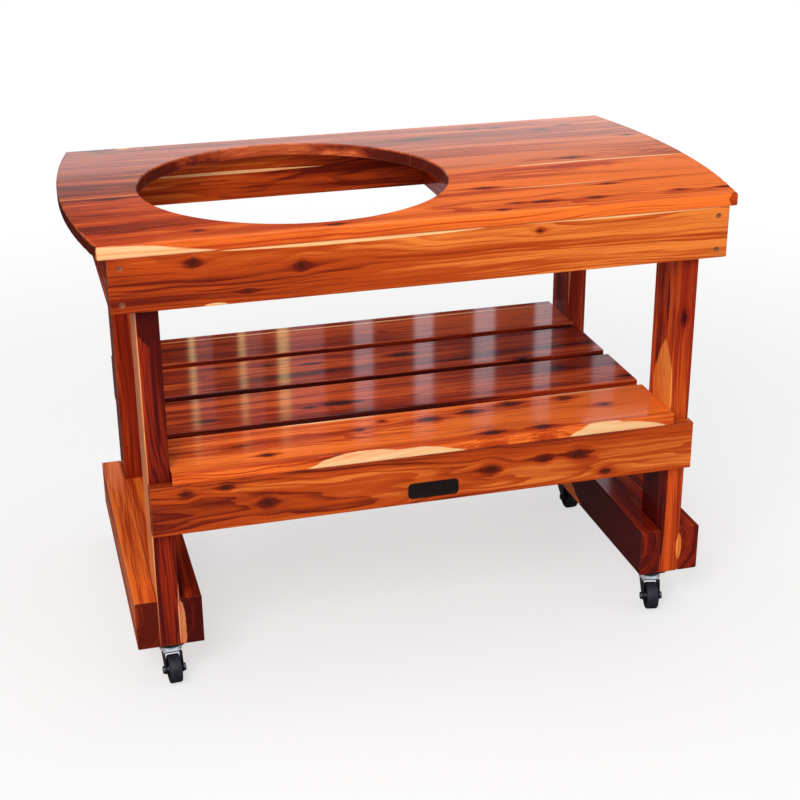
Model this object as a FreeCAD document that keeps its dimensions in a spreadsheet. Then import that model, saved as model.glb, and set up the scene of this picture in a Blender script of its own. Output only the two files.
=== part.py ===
import FreeCAD, Part
import Sketcher
import math
import os
from types import SimpleNamespace

doc = FreeCAD.newDocument("kamado_table")

# Driving sizes, in millimetres and degrees.
# Each row is an alias, a number and what the number is on the real table.
SIZES = [
    ("table_height", 798, "floor to the working surface"),
    ("corner_length", 1064, "left corner to right corner of the top"),
    ("end_bow", 35, "how far each end of the top bows out past its corners"),
    ("board_thick", 22, "thickness of the thin boards: top, aprons and slats"),
    ("top_board_wide", 140, "width of a board of the top"),
    ("top_board_count", 5, "boards in the top, from front to rear"),
    ("rear_board_wide", 70, "the rear board, ripped narrower than the others"),
    ("seam_bevel", 0.8, "small bevel along each seam of the top"),
    ("rim_round", 3, "rounding of the top's outer edge"),
    ("front_overhang", 1, "top past the aprons, front and rear"),
    ("corner_overhang", 13, "top past the end aprons, at the corners"),
    ("stick_thick", 38, "thickness of the heavy lumber"),
    ("stick_wide", 89, "width of the heavy lumber and of the aprons"),
    ("edge_ease", 2.5, "rounding of the long edges of every stick"),
    ("cutout_diameter", 540, "round cut-out that the grill hangs in"),
    ("cutout_left", 165, "centre of the cut-out, left of the middle"),
    ("cutout_front", 10, "centre of the cut-out, in front of the middle"),
    ("cutout_bevel", 2, "bevel round the cut-out's upper rim"),
    ("joist_gap", 55, "cut-out's edge to the joist beside it"),
    ("shelf_height", 406, "floor to the top of the shelf slats"),
    ("slat_gap", 20, "space between two shelf slats"),
    ("slat_count", 4, "shelf slats, front to rear"),
    ("badge_length", 90, "blank plate on the shelf's front apron"),
    ("badge_height", 29, "height of the blank plate"),
    ("badge_thick", 1, "thickness of the blank plate"),
    ("badge_round", 8, "corner radius of the blank plate"),
    ("badge_rise", 10, "blank plate above the apron's lower edge"),
    ("screw_shank", 5, "shank diameter of a wood screw"),
    ("screw_head", 9, "head diameter of a wood screw"),
    ("screw_sink", 3, "depth of the countersunk head"),
    ("apron_screw_length", 62, "screw through an apron into an end apron"),
    ("apron_screw_edge", 15, "apron screw to the apron's long edge"),
    ("screw_play", 0.1, "room between a screw and its hole"),
    ("caster_height", 74, "floor to the underside of the base"),
    ("caster_left", 461, "left casters' swivel axis, from the middle"),
    ("caster_right", 438, "right casters' swivel axis, from the middle"),
    ("caster_inset", 27, "front casters' swivel axis behind the legs' front faces"),
    ("caster_rear", 168, "rear casters' swivel axis, behind the middle"),
    ("caster_trail", 23, "axle behind the swivel axis"),
    ("turn_front_left", 3, "how far this caster is swivelled at rest"),
    ("turn_front_right", -13, "how far this caster is swivelled at rest"),
    ("turn_rear_left", -5, "how far this caster is swivelled at rest"),
    ("turn_rear_right", 2, "how far this caster is swivelled at rest"),
    ("plate_length", 54, "caster plate, front to rear"),
    ("plate_width", 44, "caster plate, side to side"),
    ("plate_thick", 2.5, "thickness of the caster plate"),
    ("plate_round", 6, "corner radius of the caster plate"),
    ("plate_hole_x", 26, "plate screws, side to side"),
    ("plate_hole_y", 42, "plate screws, front to rear"),
    ("plate_screw_shank", 4.2, "shank diameter of a plate screw"),
    ("plate_screw_head", 8, "head diameter of a plate screw"),
    ("plate_screw_length", 26, "plate screw, under its head"),
    ("plate_screw_rise", 2.2, "height of the plate screw's round head"),
    ("race_wide", 37, "diameter of the swivel race under the plate"),
    ("race_deep", 8, "depth of the swivel race"),
    ("race_taper", 3, "how far the race draws in to its lower rim"),
    ("swivel_play", 0.3, "race to crown, and crown to king pin head"),
    ("crown_wide", 40, "diameter of the fork's crown"),
    ("crown_deep", 8.2, "height of the fork's crown"),
    ("roof_thick", 3, "metal between the crown and the wheel"),
    ("king_pin_wide", 8, "shank diameter of the king pin"),
    ("king_head_wide", 14, "head diameter of the king pin"),
    ("king_head_deep", 4, "height of the king pin's head"),
    ("cheek_thick", 2, "thickness of each fork cheek"),
    ("cheek_front", 22, "fork's upper front corner, from the swivel axis"),
    ("cheek_rear", 14, "fork's upper rear corner, from the swivel axis"),
    ("cheek_deep", 9, "height of a cheek at its rear edge"),
    ("eye_wide", 16, "width of a cheek round the axle"),
    ("wheel_wide", 50, "diameter over the tyre"),
    ("tyre_thick", 4.5, "thickness of the tyre"),
    ("tyre_width", 22, "width of the tyre"),
    ("rim_width", 20, "width of the wheel's rim"),
    ("rim_thick", 2.5, "thickness of the wheel's rim"),
    ("web_width", 12, "thickness of the wheel between hub and rim"),
    ("hub_wide", 15, "diameter of the wheel's hub"),
    ("axle_wide", 8, "diameter of the axle"),
    ("axle_head_wide", 12, "axle head and nut, across the flats"),
    ("axle_head_thick", 4, "thickness of the axle head and of its nut"),
    ("running_play", 0.08, "room round a turning pin"),
    ("seat_play", 0.05, "room round a fixed pin"),
    ("side_play", 3, "tyre to fork cheek"),
    ("hub_play", 0.5, "hub to fork cheek"),
]

sheet = doc.addObject("Spreadsheet::Sheet", "Sizes")
for row, (alias, number, meaning) in enumerate(SIZES, 1):
    sheet.set(f"A{row}", meaning)
    sheet.set(f"B{row}", str(number))
    sheet.setAlias(f"B{row}", alias)
doc.recompute()


class Size:
    """A number, together with the sheet expression that gives it."""

    def __init__(self, number, text):
        self.number = number
        self.text = text

    def __add__(self, other):
        other = as_size(other)
        return Size(self.number + other.number, f"({self.text} + {other.text})")

    def __sub__(self, other):
        other = as_size(other)
        return Size(self.number - other.number, f"({self.text} - {other.text})")

    def __mul__(self, other):
        other = as_size(other)
        return Size(self.number * other.number, f"({self.text} * {other.text})")

    def __truediv__(self, other):
        other = as_size(other)
        return Size(self.number / other.number, f"({self.text} / {other.text})")

    def __radd__(self, other):
        return as_size(other) + self

    def __rsub__(self, other):
        return as_size(other) - self

    def __rmul__(self, other):
        return as_size(other) * self

    def __neg__(self):
        return Size(-self.number, f"(0 - {self.text})")


def as_size(value):
    return value if isinstance(value, Size) else Size(float(value), f"{float(value):.6f}")


def sine(angle):
    return Size(math.sin(math.radians(angle.number)), f"sin({angle.text})")


def cosine(angle):
    return Size(math.cos(math.radians(angle.number)), f"cos({angle.text})")


def bind(thing, name, value):
    thing.setExpression(name, as_size(value).text)


def bind_place(thing, x, y, z, path="Placement"):
    for axis, value in zip("xyz", (x, y, z)):
        bind(thing, f"{path}.Base.{axis}", value)


s = SimpleNamespace(**{alias: Size(number, f"Sizes.{alias}") for alias, number, meaning in SIZES})

# Heights and places that follow from the driving sizes.
table_depth = s.top_board_wide * (s.top_board_count - 1) + s.rear_board_wide
half_depth = table_depth / 2
under_top = s.table_height - s.board_thick
apron_low = under_top - s.stick_wide
slat_low = s.shelf_height - s.board_thick
shelf_apron_low = slat_low - s.stick_wide
base_low = s.caster_height
base_high = base_low + s.stick_wide

apron_front = half_depth - s.front_overhang
leg_front = apron_front - s.board_thick
leg_back = leg_front - s.stick_wide
frame_end = s.corner_length / 2 - s.corner_overhang
leg_outer = frame_end - s.stick_thick
leg_inner = leg_outer - s.stick_thick
rail_inner = leg_inner - s.stick_thick

cutout_radius = s.cutout_diameter / 2
cutout_x = -s.cutout_left
cutout_y = -s.cutout_front
reach = s.corner_length / 2 + s.end_bow
blank_end = reach + s.end_bow

# How far a cutter runs past the faces that it opens.
PAST = 1

# Box edges of a body's box feature, by the axis that they run along.
EDGES_ALONG = {"x": (9, 10, 11, 12), "y": (2, 4, 6, 8), "z": (1, 3, 5, 7)}
FRONT_BOTTOM, FRONT_TOP, REAR_BOTTOM, REAR_TOP = 9, 10, 11, 12

nodes = []


def keep(thing, name):
    """Make a finished object one of the nodes."""
    thing.Label = name
    nodes.append(thing)
    return thing


def new_body(name, x=0, y=0, z=0):
    body = doc.addObject("PartDesign::Body", name)
    body.Label = name
    bind_place(body, x, y, z)
    return body


def add_box(body, length, width, height):
    box = body.newObject("PartDesign::AdditiveBox", body.Name + "_box")
    bind(box, "Length", length)
    bind(box, "Width", width)
    bind(box, "Height", height)
    return box


def add_round(body, kind, radius, height, x=0, y=0, z=0, along="z"):
    """Add or take away a cylinder whose lower end stands at x, y, z."""
    cylinder = body.newObject(f"PartDesign::{kind}Cylinder", body.Name + "_round")
    if along == "x":
        cylinder.Placement.Rotation = FreeCAD.Rotation(FreeCAD.Vector(0, 1, 0), 90)
    bind(cylinder, "Radius", radius)
    bind(cylinder, "Height", height)
    bind_place(cylinder, x, y, z)
    return cylinder


def ease_edges(body, feature, edges, kind, radius):
    """Fillet or chamfer some edges of a body's box."""
    dress = body.newObject(f"PartDesign::{kind}", body.Name + "_" + kind.lower())
    dress.Base = (feature, [f"Edge{edge}" for edge in edges])
    bind(dress, "Radius" if kind == "Fillet" else "Size", radius)
    return dress


def plane_of(body, role):
    return next(item for item in body.Origin.OriginFeatures if item.Role == role)


def new_sketch(body, role, name):
    sketch = body.newObject("Sketcher::SketchObject", name)
    sketch.AttachmentSupport = [(plane_of(body, role), "")]
    sketch.MapMode = "FlatFace"
    return sketch


def draw_outline(sketch, corners):
    """Draw a closed outline through corners of the form (across, up, radius, side).

    The radius bends the edge that starts at its corner, and a straight edge has
    none. The side is 1 for an arc that turns left, and -1 for one that turns right.
    """
    count = len(corners)
    points = [FreeCAD.Vector(as_size(c[0]).number, as_size(c[1]).number, 0) for c in corners]
    ends = []
    for index, corner in enumerate(corners):
        start = points[index]
        end = points[(index + 1) % count]
        if len(corner) == 2:
            sketch.addGeometry(Part.LineSegment(start, end))
            ends.append((1, 2))
            continue
        radius, side = as_size(corner[2]).number, corner[3]
        chord = end - start
        left = FreeCAD.Vector(-chord.y, chord.x, 0).normalize()
        centre = (start + end) / 2 + left * side * math.sqrt(radius ** 2 - (chord.Length / 2) ** 2)
        first, last = (start, end) if side > 0 else (end, start)
        angles = [math.atan2(p.y - centre.y, p.x - centre.x) for p in (first, last)]
        if angles[1] < angles[0]:
            angles[1] += 2 * math.pi
        circle = Part.Circle(centre, FreeCAD.Vector(0, 0, 1), radius)
        sketch.addGeometry(Part.ArcOfCircle(circle, *angles))
        ends.append((1, 2) if side > 0 else (2, 1))
    for index, corner in enumerate(corners):
        start_of_edge = (index, ends[index][0])
        end_before = ((index - 1) % count, ends[index - 1][1])
        sketch.addConstraint(Sketcher.Constraint("Coincident", *end_before, *start_of_edge))
        for kind, value in zip(("DistanceX", "DistanceY"), corner):
            value = as_size(value)
            made = sketch.addConstraint(Sketcher.Constraint(kind, -1, 1, *start_of_edge, value.number))
            sketch.renameConstraint(made, f"{kind[-1].lower()}{index}")
            bind(sketch, f"Constraints.{kind[-1].lower()}{index}", value)
        if len(corner) > 2:
            radius = as_size(corner[2])
            made = sketch.addConstraint(Sketcher.Constraint("Radius", index, radius.number))
            sketch.renameConstraint(made, f"radius{index}")
            bind(sketch, f"Constraints.radius{index}", radius)


def add_revolved(body, corners, axis):
    """Turn an outline drawn on the XZ plane about the sketch's own axis."""
    sketch = new_sketch(body, "XZ_Plane", body.Name + "_outline")
    draw_outline(sketch, corners)
    turned = body.newObject("PartDesign::Revolution", body.Name + "_turned")
    turned.Profile = sketch
    turned.ReferenceAxis = (sketch, [axis])
    turned.Angle = 360
    return turned


def cut(name, base, tool):
    """A kept node: a solid with the tool taken away."""
    result = doc.addObject("Part::Cut", name)
    result.Base = base
    result.Tool = tool
    return keep(result, name)


def place_copies(name, source, spots):
    """A group of copies of one body, each at (x, y, z, rotation)."""
    copies = []
    for x, y, z, rotation in spots:
        copy = doc.addObject("App::Link", f"{name}_copy")
        copy.LinkedObject = source
        copy.LinkPlacement = FreeCAD.Placement(FreeCAD.Vector(), rotation)
        bind_place(copy, x, y, z, "LinkPlacement")
        copies.append(copy)
    group = doc.addObject("Part::Compound", name)
    group.Links = copies
    return group


# Round parts of the top: the two bowed ends, and the cutter for the grill's cut-out.
# Each end is a slice of a large disc whose rim is rounded over.
bow_radius = (half_depth * half_depth + s.end_bow * s.end_bow) / (2 * s.end_bow)
end_discs = []
for name, side in (("left_end_disc", -1), ("right_end_disc", 1)):
    disc = new_body(name, (reach - bow_radius) * side, 0, under_top)
    round_over = s.rim_round
    add_revolved(disc, [
        (0, 0),
        (bow_radius - round_over, 0, round_over, 1),
        (bow_radius, round_over),
        (bow_radius, s.board_thick - round_over, round_over, 1),
        (bow_radius - round_over, s.board_thick),
        (0, s.board_thick),
    ], "V_Axis")
    end_discs.append(disc)

cutter = new_body("cutout_cutter", cutout_x, cutout_y, under_top)
add_revolved(cutter, [
    (0, -PAST),
    (cutout_radius, -PAST),
    (cutout_radius, s.board_thick - s.cutout_bevel),
    (cutout_radius + s.cutout_bevel + PAST, s.board_thick + PAST),
    (0, s.board_thick + PAST),
], "V_Axis")


def top_piece(name, x_low, x_high, y_low, y_high, front, rear):
    """One piece of a top board, between its two seams."""
    body = new_body(name + "_blank", x_low, y_low, under_top)
    box = add_box(body, x_high - x_low, y_high - y_low, s.board_thick)
    bevels = [edge for edge, outer in ((FRONT_TOP, front), (REAR_TOP, rear)) if not outer]
    if bevels:
        ease_edges(body, box, bevels, "Chamfer", s.seam_bevel)
    if front:
        ease_edges(body, box, (FRONT_TOP, FRONT_BOTTOM), "Fillet", s.rim_round)
    if rear:
        ease_edges(body, box, (REAR_TOP, REAR_BOTTOM), "Fillet", s.rim_round)
    bowed = doc.addObject("Part::MultiCommon", name + "_bowed")
    bowed.Shapes = [body, *end_discs]
    cut(name, bowed, cutter)


# The top: boards side by side. Each board between the front one and the rear one is two
# pieces, left and right of the cut-out.
board_count = int(s.top_board_count.number)
for index in range(board_count):
    front = index == 0
    rear = index == board_count - 1
    y_low = -half_depth + s.top_board_wide * index
    y_high = half_depth if rear else y_low + s.top_board_wide
    name = "top_board_front" if front else "top_board_rear" if rear else f"top_board_{index + 1}"
    if front or rear:
        top_piece(name, -blank_end, blank_end, y_low, y_high, front, rear)
    else:
        top_piece(name + "_left", -blank_end, cutout_x, y_low, y_high, front, rear)
        top_piece(name + "_right", cutout_x, blank_end, y_low, y_high, front, rear)


# Wood screws, each drawn with its head at the origin and its point straight down.
def screw_body(name, length, shank, head_corners):
    body = new_body(name)
    shank_radius = shank / 2
    add_revolved(body, [
        (0, -length),
        (shank_radius, -length),
        *head_corners(shank_radius),
    ], "V_Axis")
    return body


def sunk_head(shank_radius):
    return [(shank_radius, -s.screw_sink), (s.screw_head / 2, 0), (0, 0)]


def sunk_hole(shank_radius):
    wide = s.screw_head / 2 + s.screw_play
    return [(shank_radius, -s.screw_sink), (wide, 0), (wide, PAST), (0, PAST)]


def round_head(shank_radius):
    wide = s.plate_screw_head / 2
    rise = s.plate_screw_rise
    return [(shank_radius, 0), (wide, 0), (wide - rise / 2, rise), (0, rise)]


def plain_hole(shank_radius):
    return [(shank_radius, PAST), (0, PAST)]


POINTS_UP = FreeCAD.Rotation(FreeCAD.Vector(1, 0, 0), 180)
POINTS_BACK = FreeCAD.Rotation(FreeCAD.Vector(1, 0, 0), 90)
POINTS_FORWARD = FreeCAD.Rotation(FreeCAD.Vector(1, 0, 0), -90)

apron_screw_x = frame_end - s.stick_thick / 2
apron_screw_heights = (apron_low + s.apron_screw_edge, under_top - s.apron_screw_edge)
apron_spots = [
    (apron_screw_x * side, apron_front * face, height, rotation)
    for face, rotation in ((-1, POINTS_BACK), (1, POINTS_FORWARD))
    for side in (-1, 1)
    for height in apron_screw_heights
]

# Where each caster's swivel axis stands, and how far it is turned at rest.
caster_front_y = -(leg_front - s.caster_inset)
CASTERS = {
    "front_left": (-s.caster_left, caster_front_y, s.turn_front_left),
    "front_right": (s.caster_right, caster_front_y, s.turn_front_right),
    "rear_left": (-s.caster_left, s.caster_rear, s.turn_rear_left),
    "rear_right": (s.caster_right, s.caster_rear, s.turn_rear_right),
}
plate_low = base_low - s.plate_thick
plate_screws = [
    (x_side * s.plate_hole_x / 2, y_side * s.plate_hole_y / 2)
    for x_side in (-1, 1)
    for y_side in (-1, 1)
]
plate_spots = [
    (x + hole_x, y + hole_y, plate_low, POINTS_UP)
    for x, y, turn in CASTERS.values()
    for hole_x, hole_y in plate_screws
]

screw_bore = s.screw_shank + s.screw_play * 2
plate_screw_bore = s.plate_screw_shank + s.screw_play * 2
SCREWS = (
    ("apron_screws", apron_spots, s.apron_screw_length, s.screw_shank, screw_bore, sunk_head, sunk_hole),
    ("caster_screws", plate_spots, s.plate_screw_length, s.plate_screw_shank, plate_screw_bore,
     round_head, plain_hole),
)
holes = {}
for name, spots, length, shank, bore, head, hole in SCREWS:
    screw = screw_body(name + "_pattern", length, shank, head)
    keep(place_copies(name, screw, spots), name)
    drill = screw_body(name + "_drill", length + s.screw_play, bore, hole)
    holes[name] = place_copies(name + "_holes", drill, spots)
apron_holes = holes["apron_screws"]
caster_holes = holes["caster_screws"]


def both_ends(low, high):
    """The same span on each side of the middle, with a word for the side."""
    return ((-1, -high, -low), (1, low, high))


def stick(name, span_x, span_y, span_z, along, drilled=None):
    """A length of lumber with its long edges eased, drilled where screws go in."""
    body = new_body(name + "_blank" if drilled else name, span_x[0], span_y[0], span_z[0])
    box = add_box(body, *(high - low for low, high in (span_x, span_y, span_z)))
    ease_edges(body, box, EDGES_ALONG[along], "Fillet", s.edge_ease)
    return cut(name, body, drilled) if drilled else keep(body, name)


SIDES = {-1: "left", 1: "right"}
ENDS = {-1: "front", 1: "rear"}
apron_span = (apron_low, under_top)
between_aprons = (-leg_front, leg_front)

# Frame under the top: long aprons, end aprons between them, and a joist by the cut-out.
for end, y_low, y_high in both_ends(leg_front, apron_front):
    stick(f"apron_{ENDS[end]}", (-frame_end, frame_end), (y_low, y_high), apron_span,
          "x", apron_holes)
for side, x_low, x_high in both_ends(leg_outer, frame_end):
    stick(f"end_apron_{SIDES[side]}", (x_low, x_high), between_aprons, apron_span,
          "y", apron_holes)
joist_low = cutout_x + cutout_radius + s.joist_gap
stick("top_joist", (joist_low, joist_low + s.stick_thick), between_aprons, apron_span, "y")

# Legs, narrow face to the front.
for side, x_low, x_high in both_ends(leg_inner, leg_outer):
    for end, y_low, y_high in both_ends(leg_back, leg_front):
        stick(f"leg_{ENDS[end]}_{SIDES[side]}", (x_low, x_high), (y_low, y_high),
              (base_low, under_top), "z", caster_holes)

# Shelf: aprons across the legs, bearers between them, and slats on top.
shelf_apron_span = (shelf_apron_low, slat_low)
for end, y_low, y_high in both_ends(leg_front, apron_front):
    stick(f"shelf_apron_{ENDS[end]}", (-leg_outer, leg_outer), (y_low, y_high), shelf_apron_span, "x")
for side, x_low, x_high in both_ends(rail_inner, leg_inner):
    stick(f"shelf_bearer_{SIDES[side]}", (x_low, x_high), between_aprons, shelf_apron_span, "y")
half_thick = s.stick_thick / 2
stick("shelf_bearer_middle", (-half_thick, half_thick), between_aprons, shelf_apron_span, "y")

slat_total = int(s.slat_count.number)
slat_wide = (apron_front * 2 - s.slat_gap * (s.slat_count - 1)) / s.slat_count
for index in range(slat_total):
    y_low = -apron_front + (slat_wide + s.slat_gap) * index
    stick(f"shelf_slat_{index + 1}", (-leg_inner, leg_inner), (y_low, y_low + slat_wide),
          (slat_low, s.shelf_height), "x")

# Base: at each side two rails clasp the legs, with a filler between the legs.
base_span = (base_low, base_high)
for side, x_low, x_high in both_ends(leg_outer, frame_end):
    stick(f"base_rail_outer_{SIDES[side]}", (x_low, x_high), between_aprons, base_span, "y")
for side, x_low, x_high in both_ends(rail_inner, leg_inner):
    stick(f"base_rail_inner_{SIDES[side]}", (x_low, x_high), between_aprons, base_span, "y", caster_holes)
for side, x_low, x_high in both_ends(leg_inner, leg_outer):
    stick(f"base_filler_{SIDES[side]}", (x_low, x_high), (-leg_back, leg_back), base_span, "y", caster_holes)

# Blank plate on the shelf's front apron.
badge = new_body("badge_plate", -s.badge_length / 2, -apron_front - s.badge_thick,
                 shelf_apron_low + s.badge_rise)
badge_box = add_box(badge, s.badge_length, s.badge_thick, s.badge_height)
ease_edges(badge, badge_box, EDGES_ALONG["y"], "Fillet", s.badge_round)
keep(badge, "badge_plate")

# Heights inside a caster, and its widths from the middle of the wheel outwards.
race_low = plate_low - s.race_deep
crown_high = race_low - s.swivel_play
crown_low = crown_high - s.crown_deep
roof_high = crown_low + s.roof_thick
wheel_radius = s.wheel_wide / 2
cheek_inner = s.tyre_width / 2 + s.side_play
cheek_outer = cheek_inner + s.cheek_thick
axle_y = -s.caster_trail
axle_hole = s.axle_wide / 2 + s.seat_play
COS_30 = math.cos(math.pi / 6)


def copies_at_casters(name, body):
    """One group of four copies, a copy at each caster's swivel axis."""
    upright = FreeCAD.Rotation()
    keep(place_copies(name, body, [(x, y, 0, upright) for x, y, turn in CASTERS.values()]), name)


def caster_plates():
    """Mounting plates, each with the upper half of the swivel race pressed into it."""
    body = new_body("caster_plate_pattern")
    box = add_box(body, s.plate_width, s.plate_length, s.plate_thick)
    bind_place(box, -s.plate_width / 2, -s.plate_length / 2, plate_low)
    ease_edges(body, box, EDGES_ALONG["z"], "Fillet", s.plate_round)
    race = body.newObject("PartDesign::AdditiveCone", "caster_plate_race")
    bind(race, "Radius1", s.race_wide / 2 - s.race_taper)
    bind(race, "Radius2", s.race_wide / 2)
    bind(race, "Height", s.race_deep)
    bind_place(race, 0, 0, race_low)
    add_round(body, "Subtractive", s.king_pin_wide / 2 + s.seat_play,
              s.race_deep + s.plate_thick, z=race_low)
    for hole_x, hole_y in plate_screws:
        add_round(body, "Subtractive", plate_screw_bore / 2, s.plate_thick, hole_x, hole_y, plate_low)
    copies_at_casters("caster_plates", body)


def king_pins():
    """The pins that hold the forks up to their plates, headed under each fork's roof."""
    body = new_body("king_pin_pattern")
    head_high = crown_low - s.swivel_play
    shank = s.king_pin_wide / 2
    head = s.king_head_wide / 2
    add_revolved(body, [
        (0, head_high - s.king_head_deep),
        (head, head_high - s.king_head_deep),
        (head, head_high),
        (shank, head_high),
        (shank, base_low),
        (0, base_low),
    ], "V_Axis")
    copies_at_casters("king_pins", body)


def caster_fork(name, x, y, turn):
    """Folded fork: two cheeks, the roof that joins them and the round crown above."""
    body = new_body(name, x, y)
    bind(body, "Placement.Rotation.Angle", turn)
    eye = s.eye_wide / 2
    side_view = new_sketch(body, "YZ_Plane", name + "_side")
    draw_outline(side_view, [
        (s.cheek_rear, roof_high),
        (-s.cheek_front, roof_high),
        (axle_y - eye, wheel_radius, eye, 1),
        (axle_y + eye * COS_30, wheel_radius - eye / 2),
        (s.cheek_rear, roof_high - s.cheek_deep),
    ])
    pad = body.newObject("PartDesign::Pad", name + "_pad")
    pad.Profile = side_view
    pad.SideType = "Symmetric"
    bind(pad, "Length", cheek_outer * 2)
    slot = body.newObject("PartDesign::SubtractiveBox", name + "_slot")
    slot_front = s.caster_trail + s.wheel_wide
    bind(slot, "Length", cheek_inner * 2)
    bind(slot, "Width", slot_front * 2)
    bind(slot, "Height", crown_low)
    bind_place(slot, -cheek_inner, -slot_front, 0)
    add_round(body, "Additive", s.crown_wide / 2, s.crown_deep, z=crown_low)
    add_round(body, "Subtractive", s.king_pin_wide / 2 + s.running_play, s.crown_deep, z=crown_low)
    add_round(body, "Subtractive", axle_hole, cheek_outer * 2,
              -cheek_outer, axle_y, wheel_radius, "x")
    keep(body, name)


def wheel_body(name, x, y, turn):
    """An empty body whose X axis is the caster's axle."""
    body = new_body(name, x + s.caster_trail * sine(turn), y - s.caster_trail * cosine(turn), wheel_radius)
    bind(body, "Placement.Rotation.Angle", turn)
    return body


def caster_axle(name, x, y, turn):
    """Hexagon bolt through both cheeks, with its nut drawn as a second hexagon."""
    corner_radius = s.axle_head_wide / 2 / COS_30
    body = wheel_body(name, x, y, turn)
    add_round(body, "Additive", s.axle_wide / 2, cheek_outer * 2, -cheek_outer, 0, 0, "x")
    for start in (-cheek_outer - s.axle_head_thick, cheek_outer):
        head = body.newObject("PartDesign::AdditivePrism", name + "_head")
        head.Placement.Rotation = FreeCAD.Rotation(FreeCAD.Vector(0, 1, 0), 90)
        bind(head, "Circumradius", corner_radius)
        bind(head, "Height", s.axle_head_thick)
        bind_place(head, start, 0, 0)
    keep(body, name)


def caster_wheel(name, x, y, turn):
    """Moulded wheel centre, recessed between its hub and its rim."""
    bore = s.axle_wide / 2 + s.running_play
    hub = s.hub_wide / 2
    rim = wheel_radius - s.tyre_thick
    rim_inside = rim - s.rim_thick
    hub_side = cheek_inner - s.hub_play
    web_side = s.web_width / 2
    rim_side = s.rim_width / 2
    body = wheel_body(name, x, y, turn)
    add_revolved(body, [
        (-hub_side, bore),
        (hub_side, bore),
        (hub_side, hub),
        (web_side, hub),
        (web_side, rim_inside),
        (rim_side, rim_inside),
        (rim_side, rim),
        (-rim_side, rim),
        (-rim_side, rim_inside),
        (-web_side, rim_inside),
        (-web_side, hub),
        (-hub_side, hub),
    ], "H_Axis")
    keep(body, name)


def caster_tyre(name, x, y, turn):
    """Solid tyre round the rim."""
    body = wheel_body(name, x, y, turn)
    side = s.tyre_width / 2
    add_round(body, "Additive", wheel_radius, s.tyre_width, -side, 0, 0, "x")
    add_round(body, "Subtractive", wheel_radius - s.tyre_thick + s.seat_play, s.tyre_width,
              -side, 0, 0, "x")
    keep(body, name)


caster_plates()
king_pins()
for corner, (x, y, turn) in CASTERS.items():
    caster_fork(f"caster_fork_{corner}", x, y, turn)
    caster_axle(f"caster_axle_{corner}", x, y, turn)
    caster_wheel(f"caster_wheel_{corner}", x, y, turn)
    caster_tyre(f"caster_tyre_{corner}", x, y, turn)

# Nothing is written unless every object is sound.
doc.recompute()
faults = [thing.Name for thing in doc.Objects if {"Invalid", "Error"} & set(thing.State)]
faults += [thing.Label for thing in nodes if thing.Shape.isNull() or not thing.Shape.isValid()]
if faults:
    raise RuntimeError("unsound: " + ", ".join(faults))

os.makedirs("parts", exist_ok=True)
for thing in nodes:
    thing.Shape.exportStep(f"parts/{thing.Label}.step")
print(len(nodes), "nodes written")
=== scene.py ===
# %% [markdown]
# # A cedar table for a kamado grill
# The table is glossy red cedar on four small casters, with a round cut-out that the grill hangs in.
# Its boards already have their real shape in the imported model, so most of this lesson is about
# finish: how a solid wood pattern is laid through each board, and how varnish shines over it.
# The small hardware is modelled again here, because screws and casters need finer forms.

import functools
import math

import bpy
from mathutils import Matrix, Vector


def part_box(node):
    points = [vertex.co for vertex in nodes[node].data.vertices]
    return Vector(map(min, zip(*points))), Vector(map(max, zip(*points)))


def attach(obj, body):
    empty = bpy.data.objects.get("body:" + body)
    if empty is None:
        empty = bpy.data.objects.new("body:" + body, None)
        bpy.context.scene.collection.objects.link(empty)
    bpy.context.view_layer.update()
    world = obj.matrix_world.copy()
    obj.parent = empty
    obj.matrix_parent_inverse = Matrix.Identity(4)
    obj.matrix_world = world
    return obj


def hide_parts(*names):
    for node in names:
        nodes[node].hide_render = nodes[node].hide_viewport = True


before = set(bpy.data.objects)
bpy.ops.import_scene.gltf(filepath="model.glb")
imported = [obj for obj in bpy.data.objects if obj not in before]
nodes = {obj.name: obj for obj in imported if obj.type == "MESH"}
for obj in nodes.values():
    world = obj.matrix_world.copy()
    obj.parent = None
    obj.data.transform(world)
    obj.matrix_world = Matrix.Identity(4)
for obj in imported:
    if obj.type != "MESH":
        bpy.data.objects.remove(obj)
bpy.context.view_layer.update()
MM = 0.001
print("boards and hardware:", len(nodes))

# %% [markdown]
# ## The camera
# The picture was taken from the front left with a normal lens, from about chest height.
# A lens, a place, and three angles hold the whole view, so they are written out as numbers.
# The turn is built as the photographer would do it: face the table, tip down, then tilt a hair.

# %% Camera
SENSOR_WIDE = 36
LENS = 68.57
CAMERA_PLACE = Vector((-0.6736, -2.5626, 1.4768))
CAMERA_TURN = 0.2671
CAMERA_DOWN = 0.3999
CAMERA_TILT = -0.0079

camera_data = bpy.data.cameras.new("camera")
camera_data.sensor_width = SENSOR_WIDE
camera_data.lens = LENS
camera = bpy.data.objects.new("camera", camera_data)
turned = Matrix.Rotation(-CAMERA_TURN, 3, "Z")
tipped = Matrix.Rotation(math.pi / 2 - CAMERA_DOWN, 3, "X")
tilted = Matrix.Rotation(CAMERA_TILT, 3, "Z")
camera.matrix_world = Matrix.Translation(CAMERA_PLACE) @ (turned @ tipped @ tilted).to_4x4()
scene = bpy.context.scene
scene.collection.objects.link(camera)
scene.camera = camera
scene.view_settings.view_transform = "Standard"
print("camera:", LENS, "mm lens,", round(CAMERA_PLACE.length, 2), "m from the table's foot")

# %% [markdown]
# ## Wiring materials in code
# Every finish below is a small web of shader nodes. Wired by hand they would fill pages, so a few
# helpers keep them readable: one sets or wires a socket, one adds a node with its settings, and the
# rest do arithmetic. A number and a wire are given in the same way, and a new node goes into the
# tree that its wires come from, so a recipe reads almost like a formula.

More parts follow.
